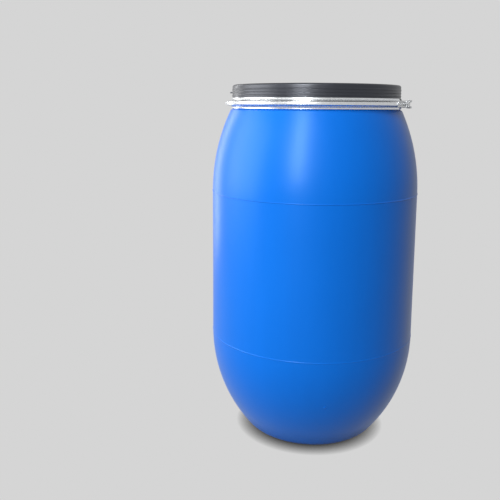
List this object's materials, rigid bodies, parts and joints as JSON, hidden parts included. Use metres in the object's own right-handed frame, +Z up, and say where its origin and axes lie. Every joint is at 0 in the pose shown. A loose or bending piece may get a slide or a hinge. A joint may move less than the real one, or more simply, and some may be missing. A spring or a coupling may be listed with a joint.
{
  "type": "open head drum",
  "caption": "Barrel-shaped plastic drum with rounded shoulder and base, flat lift-off lid with a gasket, and a steel clamping ring closed by a curved lever and hook link.",
  "frame": {"origin": "centre of the base, on the floor, on the drum's axis", "axes": "+Z up along the drum's axis, -Y is the front, +X is the side that carries the closure"},
  "size_m": [0.492, 0.492, 0.842],
  "materials": {
    "drum_plastic": "satin",
    "lid_plastic": "satin",
    "gasket_rubber": "matt",
    "ring_steel": "galvanised",
    "closure_steel": "galvanised",
    "rivet_steel": "zinc plated"
  },
  "bodies": {
    "drum": {"drum_body": "drum_plastic"},
    "cover": {"lid": "lid_plastic", "lid_gasket": "gasket_rubber"},
    "ring": {"ring_band": "ring_steel", "lever_bracket": "closure_steel", "lever_bracket_rivets": "rivet_steel", "lever_pivot_rivets": "rivet_steel", "seal_staple": "closure_steel"},
    "ring_free_end": {"catch_bracket": "closure_steel", "catch_bracket_rivets": "rivet_steel"},
    "lever_arm": {"lever": "closure_steel", "link_pivot_pin": "rivet_steel"},
    "hook_link": {"link": "closure_steel"}
  },
  "joints": [
    {"name": "lid_lift", "type": "slide", "parent": "drum", "child": "cover", "axis": [0, 0, 1], "range_m": [0, 0.12]},
    {"name": "ring_lift", "type": "slide", "parent": "drum", "child": "ring", "axis": [0, 0, 1], "range_m": [0, 0.25]},
    {"name": "lever_swing", "type": "hinge", "parent": "ring", "child": "lever_arm", "pos_m": [0.22284, 0.01168, 0.7995], "axis": [0, 0, -1], "range_deg": [0, 120]},
    {"name": "link_swing", "type": "hinge", "parent": "lever_arm", "child": "hook_link", "pos_m": [0.22051, 0.02558, 0.7995], "axis": [0, 0, 1], "range_deg": [0, 150]},
    {"name": "ring_spread", "type": "hinge", "parent": "ring", "child": "ring_free_end", "pos_m": [-0.20134, 0.0502, 0.7995], "axis": [0, 0, -1], "range_deg": [0, 2.4], "deforming": ["ring_band"]}
  ],
  "couplings": [
    {"joint": "link_swing", "follows": "lever_swing", "ratio": 1.25},
    {"joint": "ring_spread", "follows": "lever_swing", "ratio": 0.02}
  ]
}
